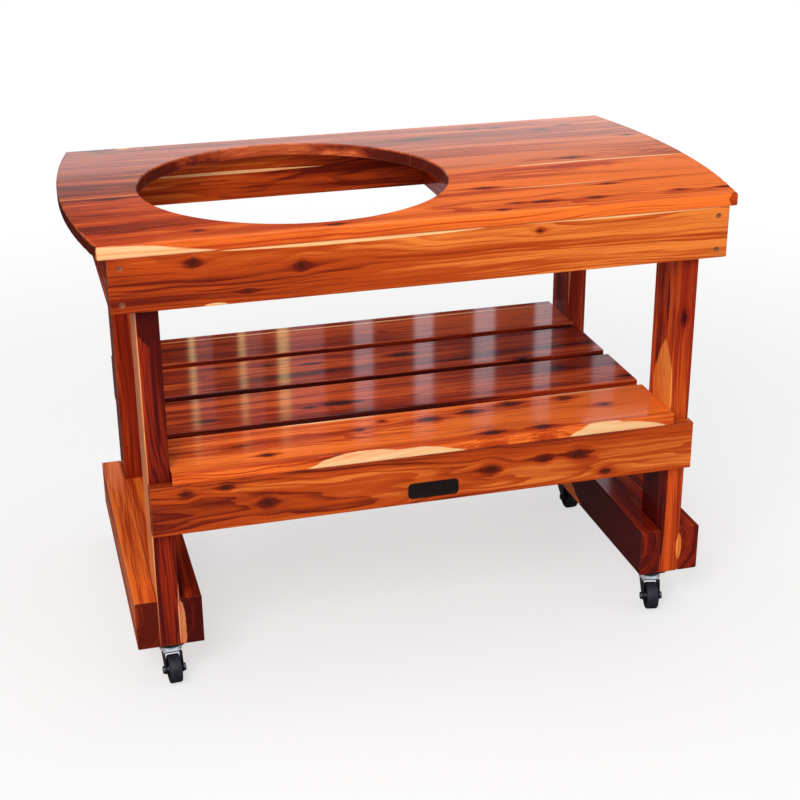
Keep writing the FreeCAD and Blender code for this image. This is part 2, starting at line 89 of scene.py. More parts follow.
# %% Helpers for shader nodes
def feed(socket, value):
    """Wire a socket to another one, or set its number."""
    if isinstance(value, bpy.types.NodeSocket):
        socket.id_data.links.new(value, socket)
    else:
        socket.default_value = value


def feed_all(node, inputs):
    for key, value in inputs.items():
        feed(node.inputs[key], value)


def add_node(kind, inputs, tree=None, **settings):
    """Add a shader node, in the tree of its inputs unless another is named."""
    wires = [value for value in inputs.values() if isinstance(value, bpy.types.NodeSocket)]
    node = (tree or wires[0].id_data).nodes.new("ShaderNode" + kind)
    for name, value in settings.items():
        setattr(node, name, value)
    feed_all(node, inputs)
    return node


def calc(operation, *values, clamp=False):
    return add_node("Math", dict(enumerate(values)), operation=operation, use_clamp=clamp).outputs[0]


def plus(*values):
    return functools.reduce(lambda so_far, value: calc("ADD", so_far, value), values)


def times(*values):
    return functools.reduce(lambda so_far, value: calc("MULTIPLY", so_far, value), values)


def distance(first, second):
    """The long side of a right-angled triangle."""
    return calc("SQRT", calc("MULTIPLY_ADD", first, first, times(second, second)))


def calc_vector(operation, *values):
    return add_node("VectorMath", dict(enumerate(values)), operation=operation).outputs[0]


def scale_vector(vector, factor):
    return add_node("VectorMath", {0: vector, "Scale": factor}, operation="SCALE").outputs[0]


def split(vector):
    return add_node("SeparateXYZ", {0: vector}).outputs


def blend(factor, first, second):
    """Mix two colours."""
    return add_node("Mix", {0: factor, 6: first, 7: second}, data_type="RGBA").outputs[2]


def smooth_step(value, low, high, below=0.0, above=1.0):
    """A soft switch from one number to another, as the value rises from low to high."""
    inputs = {"Value": value, "From Min": low, "From Max": high, "To Min": below, "To Max": above}
    return add_node("MapRange", inputs, interpolation_type="SMOOTHSTEP").outputs[0]


def noise(place, stretch, detail=2.0, roughness=0.5):
    """Cloudy noise from 0 to 1, with the pattern's size set along each axis."""
    scaled = calc_vector("MULTIPLY", place, stretch)
    inputs = {"Vector": scaled, "Scale": 1.0, "Detail": detail, "Roughness": roughness}
    return add_node("TexNoise", inputs, noise_dimensions="3D").outputs["Fac"]


def noise_along(number, size, seed):
    """Noise that changes with one number only."""
    inputs = {"W": plus(times(number, size), seed), "Scale": 1.0, "Detail": 1.0}
    return add_node("TexNoise", inputs, noise_dimensions="1D").outputs["Fac"]


def swing(cloud, size):
    """Noise made to swing as far below zero as above it."""
    return calc("MULTIPLY_ADD", cloud, size, -size / 2)


# %% Helpers for groups and materials
def new_group(name, inputs, outputs):
    """An empty node group, whose sockets are given as names for each kind."""
    tree = bpy.data.node_groups.new(name, "ShaderNodeTree")
    for side, kinds in (("INPUT", inputs), ("OUTPUT", outputs)):
        for kind, names in kinds.items():
            for socket_name in names.split(", "):
                tree.interface.new_socket(socket_name, in_out=side, socket_type="NodeSocket" + kind)
    return tree, tree.nodes.new("NodeGroupInput").outputs, tree.nodes.new("NodeGroupOutput").inputs


def new_material(name):
    """A material with its node tree, its surface, and the place on the table that patterns read."""
    material = bpy.data.materials.new(name)
    material.use_nodes = True
    tree = material.node_tree
    place = add_node("TexCoord", {}, tree).outputs["Object"]
    return material, tree, tree.nodes["Principled BSDF"], place


def dress(node_name, material):
    """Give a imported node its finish."""
    mesh = nodes[node_name].data
    mesh.materials.clear()
    mesh.materials.append(material)


# %% [markdown]
# ## Room and light
# The table stands in a plain pale studio. The floor and the world are white to the camera and to
# reflections, and a broad key lamp from the upper left and a weaker one from the right shape the
# wood. White glow comes only from what a ray that looks at the background sees, so it adds no light
# to the table, and the floor near the table glows less, which keeps the shadow.

# %% World
LIGHTING = 0.42


def seen_as_background(tree):
    """1 for rays that look at the background: from the camera, a mirror or clear glass."""
    rays = add_node("LightPath", {}, tree).outputs
    seen = calc("MAXIMUM", rays["Is Camera Ray"], rays["Is Glossy Ray"])
    return calc("MAXIMUM", seen, rays["Is Transmission Ray"])


world = bpy.data.worlds.new("studio")
scene.world = world
world.use_nodes = True
sky = world.node_tree.nodes["Background"]
sky.inputs["Color"].default_value = (1, 1, 1, 1)
seen = seen_as_background(world.node_tree)
feed(sky.inputs["Strength"], calc("MULTIPLY_ADD", seen, 1 - LIGHTING, LIGHTING))

# %% Floor
FLOOR_TONE = (0.86, 0.86, 0.85, 1)
FLOOR_ROUGH = 0.9
FLOOR_WIDE = 60
SHADOW_NEAR = 0.9
SHADOW_FAR = 2.8
GLOW_NEAR = 0.62


def begin(kind, **settings):
    """Add a primitive by itself, and open it for editing."""
    bpy.ops.object.select_all(action="DESELECT")
    getattr(bpy.ops.mesh, f"primitive_{kind}_add")(**settings)
    bpy.ops.object.transform_apply(location=True, rotation=True, scale=True)
    bpy.ops.object.mode_set(mode="EDIT")
    return bpy.context.object


def close(piece, name):
    """Leave editing, and name the piece and its mesh."""
    bpy.ops.object.mode_set(mode="OBJECT")
    piece.name = name
    piece.data.name = name
    return piece


floor = close(begin("plane", size=FLOOR_WIDE), "floor")
material, tree, matt, place = new_material("pale_floor")
feed_all(matt, {"Base Color": FLOOR_TONE, "Roughness": FLOOR_ROUGH, "Specular IOR Level": 0})
white = add_node("Emission", {"Strength": 1}, tree)
from_table = add_node("VectorMath", {0: place}, operation="LENGTH").outputs["Value"]
glow = smooth_step(from_table, SHADOW_NEAR, SHADOW_FAR, GLOW_NEAR, 1)
share = times(seen_as_background(tree), glow)
mixed = add_node("MixShader", {0: share, 1: matt.outputs[0], 2: white.outputs[0]})
feed(tree.nodes["Material Output"].inputs["Surface"], mixed.outputs[0])
floor.data.materials.append(material)
print("floor:", FLOOR_WIDE, "m wide")

# %% Lamps
LAMPS = {
    "key": ((-1.7, -2.8, 2.8), 2.0, 100),
    "fill": ((2.8, -2.0, 1.9), 2.4, 16),
    "top": ((0.3, 0.4, 3.4), 2.2, 34),
}
LAMP_AIM = Vector((0, 0, 0.5))
for name, (place, wide, watts) in LAMPS.items():
    lamp_data = bpy.data.lights.new(name, "AREA")
    lamp_data.size = wide
    lamp_data.energy = watts
    lamp = bpy.data.objects.new(name, lamp_data)
    lamp.location = place
    lamp.rotation_euler = (LAMP_AIM - lamp.location).to_track_quat("-Z", "Y").to_euler()
    lamp.visible_camera = False
    scene.collection.objects.link(lamp)
print("lamps:", len(LAMPS))

# %% [markdown]
# Varnish also mirrors the room that a table stands in, and a white studio would wash out the red.
# So a darker room is put round it, which only reflections can see: a dark mat, grey walls and a
# paler ceiling. One card behind the table stands in for the room's windows. Low down it has a row
# of tall bright bars, as window posts give, which the shelf mirrors. Higher up it has the soft
# sheen that lies over the back of the top. Painting those bars on the wood would be simpler, but
# they would stay where they are when the eye moves, and reflections don't.

# %% Room that only reflections see
ROOM_RADIUS = 9
MAT_HEIGHT = 0.0006
MAT_TONE = (0.07, 0.06, 0.06, 1)
MAT_EDGE = (0.002, 0.2)
WALL_TONE = (0.16, 0.15, 0.15, 1)
WALL_EDGE = (0.3, 0.75 * ROOM_RADIUS)
CEILING_TONE = (0.62, 0.63, 0.66, 1)


def glow_in_reflections(mesh_object, name, make_tone):
    """Let an object glow in the tone that a recipe gives for each place, for reflections only."""
    material, tree, surface, place = new_material(name)
    tree.nodes.remove(surface)
    glow = add_node("Emission", {"Color": make_tone(split(place)), "Strength": 1.0})
    feed(tree.nodes["Material Output"].inputs["Surface"], glow.outputs[0])
    mesh_object.data.materials.append(material)
    for sense in ("camera", "diffuse", "transmission", "shadow"):
        setattr(mesh_object, "visible_" + sense, False)


def room_tone(axes):
    tone = blend(smooth_step(axes[2], *WALL_EDGE), WALL_TONE, CEILING_TONE)
    return blend(smooth_step(axes[2], *MAT_EDGE), MAT_TONE, tone)


room = begin("uv_sphere", segments=48, ring_count=24, radius=ROOM_RADIUS)
bpy.ops.mesh.bisect(plane_co=(0, 0, MAT_HEIGHT), plane_no=(0, 0, 1), use_fill=True, clear_inner=True)
glow_in_reflections(close(room, "reflection_room"), "room_walls", room_tone)
print("room of", len(room.data.polygons), "faces")

# %% Card that only reflections see
CARD_BACK = 0.7
CARD_SPAN = (-1.8, 2.6)
CARD_RISE = (0.42, 2.6)
DARK_ROOM = (0.03, 0.018, 0.018)
# Each bright bar: where it starts and ends in x, how bright it is, and its colour.
SUNNY = (1.0, 0.74, 0.38)
GREY_DAY = (0.86, 0.90, 1.0)
DUSK = (0.80, 0.46, 0.52)
BARS = [
    (-0.279, -0.266, 3.8, SUNNY), (-0.262, -0.226, 0.8, DUSK), (-0.165, -0.149, 3.0, SUNNY),
    (-0.147, -0.110, 0.7, DUSK), (-0.074, -0.048, 3.2, SUNNY), (-0.046, 0.036, 1.0, DUSK),
    (0.108, 0.154, 1.5, GREY_DAY), (0.256, 0.302, 1.8, GREY_DAY), (0.405, 0.457, 1.8, GREY_DAY),
    (0.560, 0.612, 1.9, GREY_DAY), (0.715, 0.775, 1.5, GREY_DAY),
]
BAR_SOFT = 0.007
# The bars grow dimmer from one height to another, and end where the shelf's view of them does.
BARS_FADE = (0.72, 0.83, 1.0, 0.35)
SHELF_SEES_BELOW = (0.872, 0.882)
# Above, the room's light as the top sees it: height and brightness.
SHEEN = [(0.885, 1.55), (0.925, 1.25), (0.965, 0.55), (1.0, 0.2), (1.05, 0.05), (1.15, 0.02)]


def card_tone(axes):
    bars = DARK_ROOM
    for start, end, bright, tone in BARS:
        rise = smooth_step(axes[0], start - BAR_SOFT, start + BAR_SOFT)
        fall = smooth_step(axes[0], end - BAR_SOFT, end + BAR_SOFT, 1, 0)
        bar = scale_vector(tuple(part * bright for part in tone), times(rise, fall))
        bars = calc_vector("ADD", bars, bar)
    bars = scale_vector(bars, smooth_step(axes[2], *BARS_FADE))
    sheen = SHEEN[0][1]
    for (low, before), (high, after) in zip(SHEEN, SHEEN[1:]):
        sheen = plus(sheen, smooth_step(axes[2], low, high, 0.0, after - before))
    sheen = add_node("CombineXYZ", {0: sheen, 1: sheen, 2: sheen}).outputs[0]
    return blend(smooth_step(axes[2], *SHELF_SEES_BELOW), bars, sheen)


card = begin("plane", size=1, rotation=(math.pi / 2, 0, 0))
bpy.ops.transform.resize(value=(CARD_SPAN[1] - CARD_SPAN[0], 1, CARD_RISE[1] - CARD_RISE[0]))
bpy.ops.transform.translate(value=(sum(CARD_SPAN) / 2, CARD_BACK, sum(CARD_RISE) / 2))
glow_in_reflections(close(card, "reflection_card"), "room_light", card_tone)
print("bars on the card:", len(BARS))

# %% [markdown]
# ## Red cedar
# Cedar is a stack of growth rings. A picture of wood would be quicker to lay on, but it wraps a
# board like paper. Here the pattern is grown as a tree grows instead: each point of a board asks how
# far it lies from the pith, the log's middle line. A pith that runs a little aslant to the board
# gives the long arches of a flat-sawn face, and the end of the board shows the same rings as arcs
# with no extra work. Noise stretched along the grain bends the rings and lays streaks and fibres
# over them. All of it is in millimetres on the board: x runs with the grain, y across the width
# and z through the thickness.
#
# Knots are branches. Each one pushes the grain aside, and has its own small dark rings. A branch
# runs through the board's thickness, or through its width where the knot sits on a narrow edge.

# %% Knot group
# How quickly each noise changes, per millimetre along the grain, across it and through the board.
KNOT_LUMPS = (0.16, 0.22, 0.22)
KNOT_UNEVEN = 1.1
GRAIN_REACH = 0.42
GRAIN_PULL = -0.72
TAIL_WIDE = 0.8
TAIL_LONG = 3.0


def make_knot_group():
    """A branch through the board's thickness, or through its width where Narrow is 1."""
    tree, given, result = new_group(
        "knot", {"Vector": "Place, Middle", "Float": "Depth, Radius, Stretch, Tail, Narrow"},
        {"Vector": "Place", "Float": "Depth, Tail"})
    axes = split(calc_vector("SUBTRACT", given["Place"], given["Middle"]))
    narrow = given["Narrow"]
    wide = calc("SUBTRACT", 1.0, narrow)
    across = calc("MULTIPLY_ADD", axes[1], wide, times(axes[2], narrow))
    along = calc("DIVIDE", axes[0], given["Stretch"])
    lumps = swing(noise(given["Place"], KNOT_LUMPS, detail=1.0), KNOT_UNEVEN)
    radii = plus(calc("DIVIDE", distance(along, across), given["Radius"]), lumps)
    feed(result["Depth"], calc("MINIMUM", given["Depth"], radii))
    # Grain is drawn in towards the knot's middle, so its lines part round the knot.
    reach = times(radii, GRAIN_REACH)
    pull = calc("EXPONENT", times(reach, reach, -1.0))
    moved = times(across, pull, GRAIN_PULL)
    shift = add_node("CombineXYZ", {1: times(moved, wide), 2: times(moved, narrow)}).outputs[0]
    feed(result["Place"], calc_vector("ADD", given["Place"], shift))
    # A dark streak runs through the knot, along the grain.
    beside = calc("DIVIDE", across, times(given["Radius"], TAIL_WIDE))
    before = calc("DIVIDE", along, times(given["Radius"], TAIL_LONG))
    far = calc("MULTIPLY_ADD", beside, beside, times(before, before))
    tail = calc("EXPONENT", times(far, -1.0))
    feed(result["Tail"], calc("MAXIMUM", given["Tail"], tail))
    return tree


knot_group = make_knot_group()
print("nodes in the knot group:", len(knot_group.nodes))

# %% [markdown]
# Cream sapwood is the outside of the log, and some edges of the boards reach it. It could come from
# the ring count alone, but then it would turn up wherever the log happens to end. Patches, each a
# lens that is pointed along the grain, put it where this table has it. The same lens lays dark
# stains, and in a few places painted light and painted shade.

# %% Patch group
PATCH_EDGE = (0.014, 0.08, 0.08)
PATCH_WANDER = 0.34
PATCH_BORDER = (0.86, 1.0)


def make_patch_group():
    """A lens pointed along the grain, which lays sapwood, a dark stain, or in a few places painted light
    and shade.
    """
    tree, given, result = new_group(
        "patch", {"Vector": "Place, Middle, Reach", "Float": "Before"}, {"Float": "Patch"})
    away = calc_vector("SUBTRACT", given["Place"], given["Middle"])
    axes = split(calc_vector("DIVIDE", away, given["Reach"]))
    lens = calc("MULTIPLY_ADD", axes[0], axes[0], distance(axes[1], axes[2]))
    lens = plus(lens, swing(noise(given["Place"], PATCH_EDGE), PATCH_WANDER))
    inside = smooth_step(lens, *PATCH_BORDER, 1, 0)
    feed(result["Patch"], calc("MAXIMUM", given["Before"], inside))
    return tree


patch_group = make_patch_group()
print("nodes in the patch group:", len(patch_group.nodes))

# %% [markdown]
# The cedar group does the rest: rings, streaks and fibres make each point more or less dark, and
# the colours run from pale through red to dark. All boards share it, and differ by the numbers that
# they give it, as boards from different logs do.

# %% Rings
SLOW_BEND = (0.0022, 0.011, 0.011)
QUICK_BEND = (0.009, 0.07, 0.07)
DECADES = 0.8


def growth_rings(given, place, axes):
    """How much late wood each point has, and how dark its decade is."""
    # Distance from the leaning pith, bent by slow noise.
    pith_y = calc("MULTIPLY_ADD", axes[0], given["Lean Across"], given["Pith Across"])
    pith_z = calc("MULTIPLY_ADD", axes[0], given["Lean Deep"], given["Pith Deep"])
    radius = distance(calc("SUBTRACT", axes[1], pith_y), calc("SUBTRACT", axes[2], pith_z))
    quick = noise(place, QUICK_BEND, detail=1.0)
    radius = plus(radius, swing(noise(place, SLOW_BEND), 36.0), swing(quick, 5.0))
    # The rings' spacing and their strength vary from year to year.
    seed = given["Seed"]
    uneven = times(noise_along(radius, 0.045, seed), 3.0)
    ring_count = plus(calc("DIVIDE", radius, given["Ring"]), uneven)
    part = calc("FRACT", ring_count)
    late = times(smooth_step(part, 0.35, 0.9), smooth_step(part, 0.93, 1.0, 1, 0))
    year = add_node("TexWhiteNoise", {"W": plus(calc("FLOOR", ring_count), seed)}, noise_dimensions="1D")
    late = times(late, calc("MULTIPLY_ADD", year.outputs["Value"], 0.8, 0.25))
    return late, swing(noise_along(ring_count, 0.21, plus(seed, 7.3)), DECADES)


# %% Streaks and colours
BROAD_STREAK = (0.0013, 0.035, 0.035)
STREAK = (0.0045, 0.16, 0.16)
FIBRE = (0.02, 1.1, 1.1)


def lengthwise_streaks(place):
    """Streaks and fibres along the grain, and all of them together."""
    broad = noise(place, BROAD_STREAK, detail=3.0, roughness=0.6)
    streak = noise(place, STREAK, detail=3.0, roughness=0.65)
    fibre = noise(place, FIBRE, roughness=0.6)
    return streak, fibre, plus(swing(broad, 1.7), swing(streak, 0.9), swing(fibre, 0.3))


def wood_colour(given, dark, late, fibre, end):
    tone = blend(smooth_step(dark, 0.0, 0.52), given["Pale"], given["Red"])
    tone = blend(smooth_step(dark, 0.5, 1.0), tone, given["Dark"])
    # Sapwood shows the same rings and fibres, but faintly. A few patches use it to paint light.
    sap_dark = calc("MULTIPLY_ADD", late, 0.3, calc("MULTIPLY_ADD", fibre, 0.5, -0.2))
    sap_dark = calc("MULTIPLY_ADD", dark, 0.45, sap_dark, clamp=True)
    tone = blend(given["Patch"], tone, blend(sap_dark, given["Sap"], given["Pale"]))
    # The knot itself is darkest in the middle, with faint rings.
    core = smooth_step(given["Knot"], 0.45, 1.35, 1, 0)
    rings = calc("SINE", times(given["Knot"], 13.0))
    core = times(core, calc("MULTIPLY_ADD", rings, 0.12, 0.86))
    tone = blend(core, tone, given["Knot Tone"])
    return blend(times(end, 0.6), tone, given["Knot Tone"])


# %% Cedar group
# Each board's seed moves its noise to another place.
SEED_STEP = (311.0, 173.0, 97.0)
# How much darker each thing makes the wood.
PLAIN_WOOD = 0.36
LATE_WOOD = 0.34
# Stains darken the wood, and some of them paint shade.
STAINED_AND_SHADED = 0.6
BY_A_KNOT = 0.26


def make_cedar_group():
    tree, given, result = new_group(
        "cedar",
        {"Vector": "Place, Facing", "Color": "Pale, Red, Dark, Sap, Knot Tone",
         "Float": "Knot, Tail, Patch, Stain, End, Side, Seed, Pith Across, Pith Deep, Lean Across, "
                  "Lean Deep, Ring, Shade, Shade Slope, Streaks"},
        {"Color": "Colour", "Float": "Height, Rough, Gloss"})
    place = calc_vector("ADD", given["Place"], scale_vector(SEED_STEP, given["Seed"]))
    axes = split(given["Place"])
    late, decade = growth_rings(given, place, axes)
    streak, fibre, streaky = lengthwise_streaks(place)

    # A sawn end drinks more varnish, so it is much darker and duller, with fewer streaks. Sawn
    # sides can be made darker too, which paints the shade between slats.
    facing = split(given["Facing"])
    end = smooth_step(calc("ABSOLUTE", facing[0]), 0.55, 0.9)
    side = smooth_step(calc("ABSOLUTE", facing[1]), 0.7, 0.95)
    streak_share = times(given["Streaks"], calc("MULTIPLY_ADD", end, -0.75, 1.0))
    end = times(end, given["End"])

    # How dark each point is: pale below, red in the middle, dark above.
    dark = plus(given["Shade"], times(axes[0], given["Shade Slope"]), PLAIN_WOOD, times(late, LATE_WOOD),
                decade, times(streaky, streak_share), times(side, given["Side"]),
                times(given["Stain"], STAINED_AND_SHADED), smooth_step(given["Knot"], 1.0, 2.7, BY_A_KNOT, 0.0),
                times(given["Tail"], streak))
    dark = calc("ADD", dark, end, clamp=True)
    feed(result["Colour"], wood_colour(given, dark, late, fibre, end))
    feed(result["Height"], calc("MULTIPLY_ADD", late, -0.5, times(fibre, 0.5)))
    feed(result["Rough"], calc("MULTIPLY_ADD", streak, 0.16, 0.36))
    feed(result["Gloss"], calc("MULTIPLY_ADD", end, -0.7, 1.0))
    return tree


cedar_group = make_cedar_group()
print("nodes in the cedar group:", len(cedar_group.nodes))

# %% [markdown]
# A varnished board is handled and knocked along its arrises, where the finish wears thin and the
# wood looks paler. The same pale arrises also paint the highlight that the edges catch. Blender's
# Bevel node tells where a sharp or rounded edge is near, because there the softened normal leans
# away from the true one. The same softened normal makes the varnish run smoothly over the edge.

# %% Worn and highlighted edge group
EDGE_RADIUS = 0.003
EDGE_TONE = (0.84, 0.27, 0.09, 1)


def make_edge_group():
    tree, given, result = new_group("worn_and_lit_edge", {"Float": "Radius"}, {"Float": "Edge", "Vector": "Normal"})
    soft = add_node("Bevel", {"Radius": given["Radius"]}, samples=4).outputs[0]
    true = add_node("NewGeometry", {}, tree).outputs["True Normal"]
    together = add_node("VectorMath", {0: soft, 1: true}, operation="DOT_PRODUCT").outputs["Value"]
    feed(result["Edge"], smooth_step(together, 0.80, 0.985, 1, 0))
    feed(result["Normal"], soft)
    return tree


edge_group = make_edge_group()
print("nodes in the worn edge group:", len(edge_group.nodes))

# %% [markdown]
# A board's own material puts these groups together. The varnish is a clear coat, thinner on sawn
# ends. A glossy wood without a coat would mirror as much, but its red would look chalky, so the
# wood's own shine is kept low and the coat does the mirroring.

# %% Lay the pattern on a board
GRAIN = {"x": Vector((1, 0, 0)), "y": Vector((0, 1, 0)), "z": Vector((0, 0, 1))}
WOOD_SHINE = 0.03
VARNISH_ROUGH = 0.09
VARNISH_IOR = 1.45
GRAIN_STRENGTH = 0.25
GRAIN_DEPTH = 0.0004
NO_KNOT = 9.0


def board_axes(node_name, grain, middle=None):
    """Which way a board's grain, width and thickness run, and where its middle is, in mm."""
    low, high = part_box(node_name)
    size = high - low
    sides = sorted((axis for axis in "xyz" if axis != grain), key=lambda axis: size["xyz".index(axis)])
    along, across = GRAIN[grain], GRAIN[sides[1]]
    turn = Matrix((along, across, along.cross(across)))
    centre = (low + high) / 2 / MM
    if middle is not None:
        centre["xyz".index(grain)] = middle
    return turn, centre


def add_lenses(place, turn, centre, lenses):
    """A chain of patches, each given as a middle and a reach."""
    so_far = 0.0
    for middle, reach in lenses:
        middle = turn @ (Vector(middle) - centre)
        reach = [abs(part) for part in turn @ Vector(reach)]
        inputs = {"Place": place, "Before": so_far, "Middle": middle, "Reach": reach}
        so_far = add_node("Group", inputs, node_tree=patch_group).outputs["Patch"]
    return so_far


def add_knots(place, turn, centre, knots, half_width):
    """A chain of knots. Each bends the place that the next one and the rings read."""
    depth = NO_KNOT
    tail = 0.0
    for x, y, z, radius, stretch in knots:
        middle = turn @ (Vector((x, y, z)) - centre)
        on_narrow_edge = float(abs(middle.y) > half_width - 1)
        inputs = {"Place": place, "Depth": depth, "Middle": middle, "Radius": radius,
                  "Stretch": stretch, "Tail": tail, "Narrow": on_narrow_edge}
        place, depth, tail = add_node("Group", inputs, node_tree=knot_group).outputs
    return place, depth, tail


def cedar_board(node_name, grain, look, seed, pith=(20, -60), lean=(0.01, 0.03), ring=4.5, shade=0.0,
                slope=0.0, streaks=1.0, end=0.8, side=0.0, wear_and_highlight=0.3, coat=0.6, knots=(), patches=(),
                stains_and_shade=(), middle=None):
    """One board's own varnished cedar.

    The knots are given as (x, y, z, radius, stretch), and the patches and dark stains as a middle
    and a reach along x, y and z, all in millimetres on the table. The patches are mostly sapwood and
    the stains real stains, but a few of each paint light and shade."""
    material, tree, surface, place = new_material(node_name + "_cedar")
    turn, centre = board_axes(node_name, grain, middle)
    half_width = max((turn @ (corner / MM - centre)).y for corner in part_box(node_name))
    angles = turn.to_euler("XYZ")
    facing = {"Vector": place.node.outputs["Normal"], "Rotation": angles}
    facing = add_node("Mapping", facing, vector_type="VECTOR").outputs[0]
    place = {"Vector": place, "Location": -(turn @ centre), "Rotation": angles, "Scale": [1 / MM] * 3}
    place = add_node("Mapping", place, vector_type="POINT").outputs[0]
    patch = add_lenses(place, turn, centre, patches)
    stain = add_lenses(place, turn, centre, stains_and_shade)
    place, depth, tail = add_knots(place, turn, centre, knots, half_width)
    tones = {name: (*tone, 1) for name, tone in look.items()}
    cedar = add_node("Group", {
        "Place": place, "Facing": facing, "Knot": depth, "Tail": tail, "Patch": patch, "Stain": stain,
        "End": end, "Side": side, "Seed": seed, "Pith Across": pith[0], "Pith Deep": pith[1],
        "Lean Across": lean[0], "Lean Deep": lean[1], "Ring": ring, "Shade": shade, "Shade Slope": slope,
        "Streaks": streaks, **tones}, node_tree=cedar_group).outputs
    edge = add_node("Group", {"Radius": EDGE_RADIUS}, tree, node_tree=edge_group).outputs
    grainy = add_node("Bump", {"Strength": GRAIN_STRENGTH, "Distance": GRAIN_DEPTH,
                               "Height": cedar["Height"], "Normal": edge["Normal"]})
    # Pale arrises: the varnish worn thin, and a painted highlight along every edge.
    feed_all(surface, {
        "Base Color": blend(times(edge["Edge"], wear_and_highlight), cedar["Colour"], EDGE_TONE),
        "Roughness": cedar["Rough"], "Normal": grainy.outputs[0], "Specular IOR Level": WOOD_SHINE,
        "Coat Weight": times(cedar["Gloss"], coat), "Coat Roughness": VARNISH_ROUGH,
        "Coat IOR": VARNISH_IOR})
    dress(node_name, material)
    print(node_name, "has", len(knots), "knots and", len(patches) + len(stains_and_shade), "patches")


# %% [markdown]
# ## The top
# Five boards run from end to end, and the cut-out saws the middle three through. A left and a
# right piece of one board share one pattern, so the grain runs on across the hole. The front two
# boards are orange, and the others rosier.

# %% Boards of the top
ORANGE = {"Pale": (0.93, 0.185, 0.024), "Red": (0.50, 0.050, 0.005), "Dark": (0.13, 0.009, 0.003),
          "Sap": (0.88, 0.60, 0.30), "Knot Tone": (0.065, 0.008, 0.004)}
ROSY = {"Pale": (0.74, 0.17, 0.05), "Red": (0.38, 0.052, 0.014), "Dark": (0.12, 0.012, 0.006),
        "Sap": (0.88, 0.58, 0.32), "Knot Tone": (0.07, 0.010, 0.007)}
TOP = 798
TOP_EDGE = -315
TOP_BOARDS = [
    (("top_board_front",), ORANGE, dict(
        seed=1, pith=(-30, -72), lean=(0.015, 0.02), ring=5.0, shade=-0.05, slope=-0.0006, streaks=0.8,
        knots=[(-371, -271, TOP, 5, 1.6), (-157, -299, TOP, 5, 1.8), (122, -298, TOP, 4, 1.6),
               (158, -267, TOP, 4.5, 2.2), (199, -270, TOP, 4.5, 2.4), (293, -271, TOP, 5, 1.9),
               (348, -194, TOP, 4, 2.4), (448, -265, TOP, 5, 1.7), (530, -270, TOP, 5, 1.8)],
        patches=[((-545, TOP_EDGE, 776), (205, 7, 23)), ((265, -176, TOP), (120, 4.5, 8))],
        stains_and_shade=[((534, TOP_EDGE, 788), (18, 9, 24))])),
    (("top_board_2_left", "top_board_2_right"), ORANGE, dict(
        seed=2, pith=(14, -95), lean=(0.02, 0.035), ring=5.2, shade=-0.16, slope=-0.0006, streaks=0.85,
        knots=[(137, -162, TOP, 6, 2.2), (-483, -48, TOP, 4, 2.4)])),
    (("top_board_3_left", "top_board_3_right"), ROSY, dict(
        seed=3, pith=(-22, -66), lean=(-0.01, -0.03), ring=4.6, shade=-0.04, slope=-0.0005, streaks=0.85,
        knots=[(352, -4, TOP, 8, 2.4)],
        patches=[((400, -33, TOP), (185, 5, 8))])),
    (("top_board_4_left", "top_board_4_right"), ROSY, dict(
        seed=4, pith=(30, -80), lean=(0.01, 0.025), ring=4.8, shade=0.02, slope=-0.0004, streaks=0.8,
        knots=[(128, 216, TOP, 7, 2.0), (380, 225, TOP, 5, 1.8), (524, 135, TOP, 5, 1.8)])),
    (("top_board_rear",), ROSY, dict(
        seed=5, pith=(10, -58), lean=(0.0, 0.02), ring=4.4, shade=0.04, slope=-0.0005, streaks=0.85,
        knots=[(252, 268, TOP, 5, 1.8), (297, 267, TOP, 4.5, 2.0), (438, 250, TOP, 5, 1.8)],
        patches=[((-428, 310, TOP), (16, 7, 8))],
        stains_and_shade=[((-472, 308, TOP), (52, 12, 10))])),
]
# The top's arrises are paler than the rest, which paints the highlight along the cut-out's rim and the
# board edges.
for names, look, settings in TOP_BOARDS:
    for name in names:
        cedar_board(name, "x", look, middle=0, wear_and_highlight=0.45, **settings)

# %% [markdown]
# ## Frame, legs and shelf
# The front apron is the board that the eye meets first: three small knots, deep orange at the
# left and pale at the right, with a cream line along its upper edge. The rear aprons get less
# coat, because they face the card and would mirror its bars. The legs and the base are a darker
# red, and some of their arrises show cream or yellow sapwood. Some pale and dark patches on them,
# and the rear apron's darker right end, are painted light and shade.

# %% Aprons
APRON = {"Pale": (0.83, 0.215, 0.034), "Red": (0.45, 0.055, 0.005), "Dark": (0.14, 0.010, 0.003),
         "Sap": (0.88, 0.62, 0.30), "Knot Tone": (0.060, 0.010, 0.004)}
FRONT = -314
REAR_COAT = 0.25
cedar_board("apron_front", "x", APRON, seed=6, pith=(58, -60), lean=(0.01, 0.02), ring=5.2,
            shade=0.02, slope=-0.0005, streaks=0.8,
            knots=[(-388, FRONT, 761, 7, 1.1), (-216, FRONT, 740, 5.5, 1.1), (181, FRONT, 762, 3.5, 1.3),
                   (-303, FRONT, 706, 2.5, 2.4)],
            patches=[((-130, FRONT, 776), (250, 6, 6)), ((330, FRONT, 776), (210, 6, 3)),
                     ((-355, FRONT, 689), (20, 4, 3))])
# The rear apron grows darker towards the right: painted shade under the top.
cedar_board("apron_rear", "x", APRON, seed=7, pith=(-16, -60), lean=(0.0, 0.02), shade=0.38,
            slope=0.0009, coat=REAR_COAT, patches=[((-230, 292, 741), (190, 4, 3.5))])

# %% Other sticks under the top
REDDISH = {"Pale": (0.66, 0.085, 0.009), "Red": (0.27, 0.017, 0.004), "Dark": (0.07, 0.004, 0.003),
           "Sap": (0.88, 0.27, 0.10), "Knot Tone": (0.035, 0.004, 0.003)}
cedar_board("end_apron_left", "y", REDDISH, seed=8)
cedar_board("end_apron_right", "y", REDDISH, seed=9)
# The joist is made darker: painted shade under the top.
cedar_board("top_joist", "y", REDDISH, seed=10, shade=0.2)

